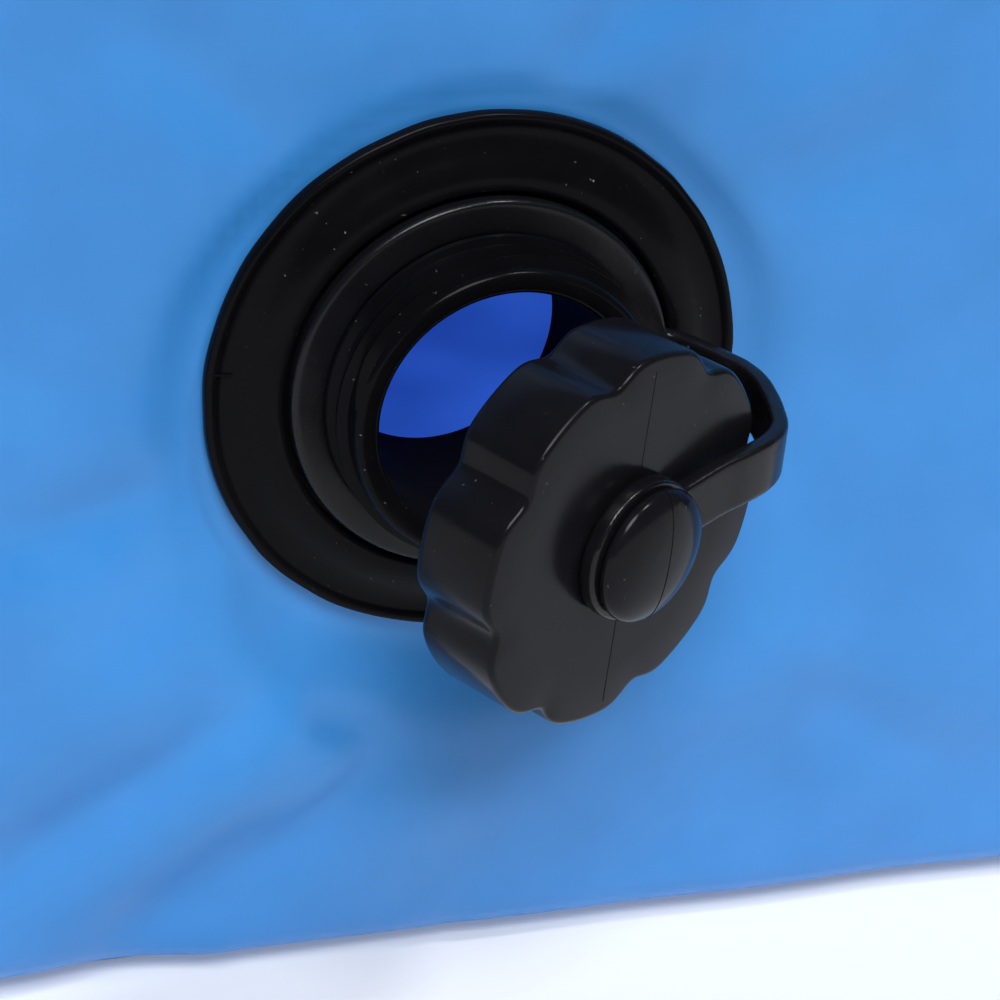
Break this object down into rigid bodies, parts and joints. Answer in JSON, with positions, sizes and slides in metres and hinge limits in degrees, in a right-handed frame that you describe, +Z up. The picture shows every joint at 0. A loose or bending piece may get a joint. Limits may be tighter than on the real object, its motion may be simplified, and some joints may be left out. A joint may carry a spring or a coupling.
{
  "type": "air track mat",
  "caption": "Long inflatable tumbling mat of coated drop-stitch fabric with rounded corners, webbing carry handles and a screw valve with a tethered cap in one end wall.",
  "frame": {"origin": "centre of the underside, on the surface that the mat lies on", "axes": "+Z up, +Y along the mat away from the end with the valve, +X across it"},
  "size_m": [1.1008, 3.105, 0.2013],
  "materials": {
    "blue_coated_fabric": "satin PVC-coated fabric, smooth, soft sheen",
    "blue_seam_tape": "satin PVC tape, slightly darker where it is doubled",
    "drop_stitch_cloth": "matt coated base cloth and yarns",
    "black_moulded_plastic": "satin injection-moulded plastic with fine parting lines",
    "black_soft_plastic": "satin flexible plastic",
    "black_gasket_rubber": "matt rubber",
    "black_webbing": "matt woven nylon webbing"
  },
  "bodies": {
    "root": {"bottom_panel": "blue_coated_fabric", "top_panel": "blue_coated_fabric", "drop_stitch_core": "drop_stitch_cloth", "end_band_front": "blue_coated_fabric", "end_band_rear": "blue_coated_fabric", "side_band_left": "blue_coated_fabric", "side_band_right": "blue_coated_fabric", "lap_strip_front_left": "blue_seam_tape", "lap_strip_front_right": "blue_seam_tape", "lap_strip_rear_left": "blue_seam_tape", "lap_strip_rear_right": "blue_seam_tape", "top_seam_tape": "blue_seam_tape", "bottom_seam_tape": "blue_seam_tape", "valve_backing_ring": "blue_seam_tape", "valve_body": "black_moulded_plastic", "handle_front_patch_a": "blue_seam_tape", "handle_front_patch_b": "blue_seam_tape", "handle_rear_patch_a": "blue_seam_tape", "handle_rear_patch_b": "blue_seam_tape", "handle_right_front_patch_a": "blue_seam_tape", "handle_right_front_patch_b": "blue_seam_tape", "handle_right_rear_patch_a": "blue_seam_tape", "handle_right_rear_patch_b": "blue_seam_tape", "handle_left_front_patch_a": "blue_seam_tape", "handle_left_front_patch_b": "blue_seam_tape", "handle_left_rear_patch_a": "blue_seam_tape", "handle_left_rear_patch_b": "blue_seam_tape"},
    "tether": {"tether_ring": "black_soft_plastic"},
    "tether_end": {"tether_eye": "black_soft_plastic"},
    "cap": {"valve_cap": "black_moulded_plastic", "cap_gasket": "black_gasket_rubber"},
    "handle_front_grip": {"handle_front_strap": "black_webbing"},
    "handle_rear_grip": {"handle_rear_strap": "black_webbing"},
    "handle_right_front_grip": {"handle_right_front_strap": "black_webbing"},
    "handle_right_rear_grip": {"handle_right_rear_strap": "black_webbing"},
    "handle_left_front_grip": {"handle_left_front_strap": "black_webbing"},
    "handle_left_rear_grip": {"handle_left_rear_strap": "black_webbing"}
  },
  "joints": [
    {"name": "tether_swivel", "type": "hinge", "parent": "root", "child": "tether", "pos_m": [-0.3, -1.5, 0.1005], "axis": [0, -1, 0], "continuous": true},
    {"name": "tether_flex", "type": "hinge", "parent": "tether", "child": "tether_end", "pos_m": [-0.2638, -1.5189, 0.1022], "axis": [0, 0, 1], "range_deg": [0, 60], "stiffness_Nm_per_rad": 0.04},
    {"name": "cap_spin", "type": "hinge", "parent": "tether_end", "child": "cap", "pos_m": [-0.2921, -1.5425, 0.0942], "axis": [0.4629, -0.8855, -0.0401], "continuous": true},
    {"name": "handle_front_lift", "type": "hinge", "parent": "root", "child": "handle_front_grip", "pos_m": [0, -1.5026, 0.1], "axis": [-1, 0, 0], "range_deg": [-5, 65]},
    {"name": "handle_rear_lift", "type": "hinge", "parent": "root", "child": "handle_rear_grip", "pos_m": [0, 1.5026, 0.1], "axis": [1, 0, 0], "range_deg": [-5, 65]},
    {"name": "handle_right_front_lift", "type": "hinge", "parent": "root", "child": "handle_right_front_grip", "pos_m": [0.5026, -0.75, 0.1], "axis": [0, -1, 0], "range_deg": [-5, 65]},
    {"name": "handle_right_rear_lift", "type": "hinge", "parent": "root", "child": "handle_right_rear_grip", "pos_m": [0.5026, 0.75, 0.1], "axis": [0, -1, 0], "range_deg": [-5, 65]},
    {"name": "handle_left_front_lift", "type": "hinge", "parent": "root", "child": "handle_left_front_grip", "pos_m": [-0.5026, -0.75, 0.1], "axis": [0, 1, 0], "range_deg": [-5, 65]},
    {"name": "handle_left_rear_lift", "type": "hinge", "parent": "root", "child": "handle_left_rear_grip", "pos_m": [-0.5026, 0.75, 0.1], "axis": [0, 1, 0], "range_deg": [-5, 65]}
  ]
}
